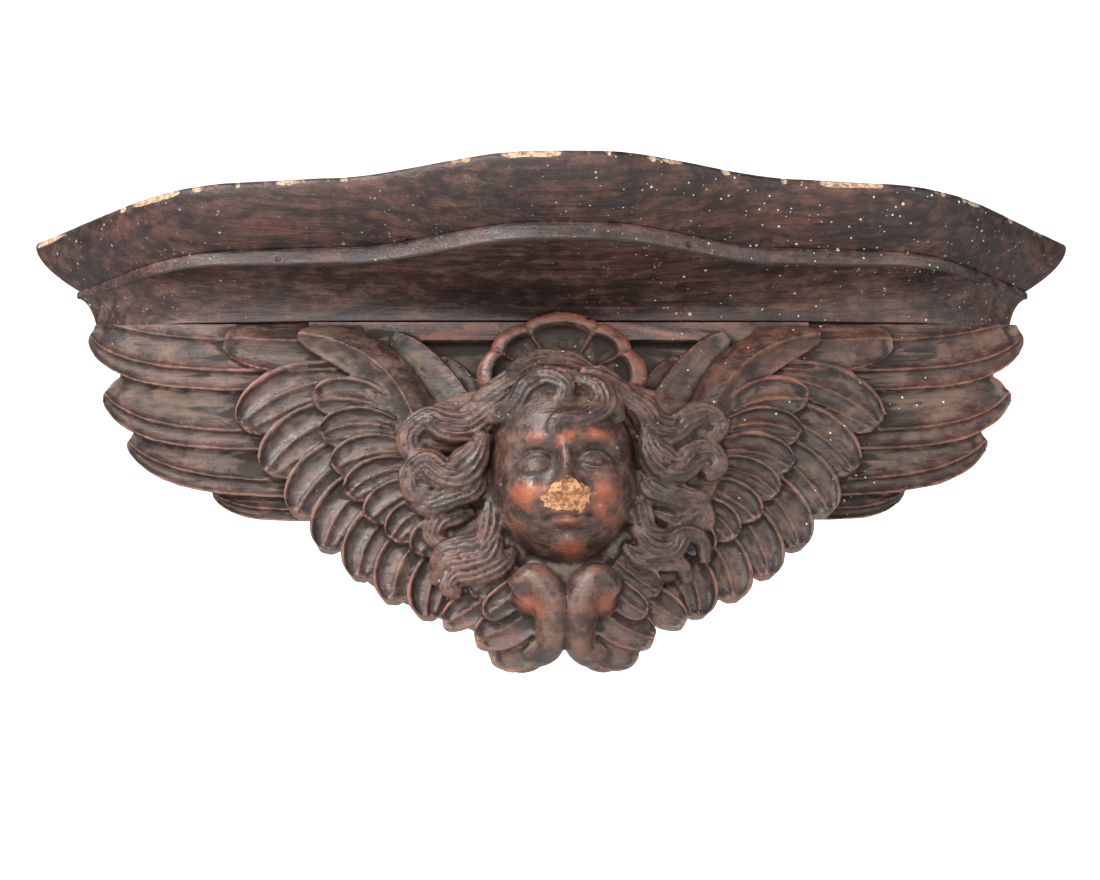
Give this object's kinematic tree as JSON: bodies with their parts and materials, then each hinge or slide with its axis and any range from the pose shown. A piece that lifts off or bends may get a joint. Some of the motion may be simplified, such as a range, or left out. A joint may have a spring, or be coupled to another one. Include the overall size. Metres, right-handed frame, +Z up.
{
  "type": "carved wall bracket",
  "caption": "Carved wood wall bracket: winged child's head in high relief under a serpentine shelf with rolled edge, fillet and cove.",
  "frame": {"origin": "on the flat back of the carved block, on the centre line, 160 mm below the shelf's top", "axes": "+Y into the wall, +Z up, +X to the viewer's right along the width"},
  "size_m": [0.812, 0.217, 0.3533],
  "materials": {
    "dark_wood": "dark waxed patina, worn at the upper edge",
    "cove_wood": "dark waxed patina with a rubbed fillet",
    "carved_wood": "dark waxed patina, rubbed reddish on the ridges, dust in the hollows"
  },
  "bodies": {
    "root": {"top_board": "dark_wood", "cove_board": "cove_wood", "winged_head": "carved_wood"}
  },
  "joints": []
}
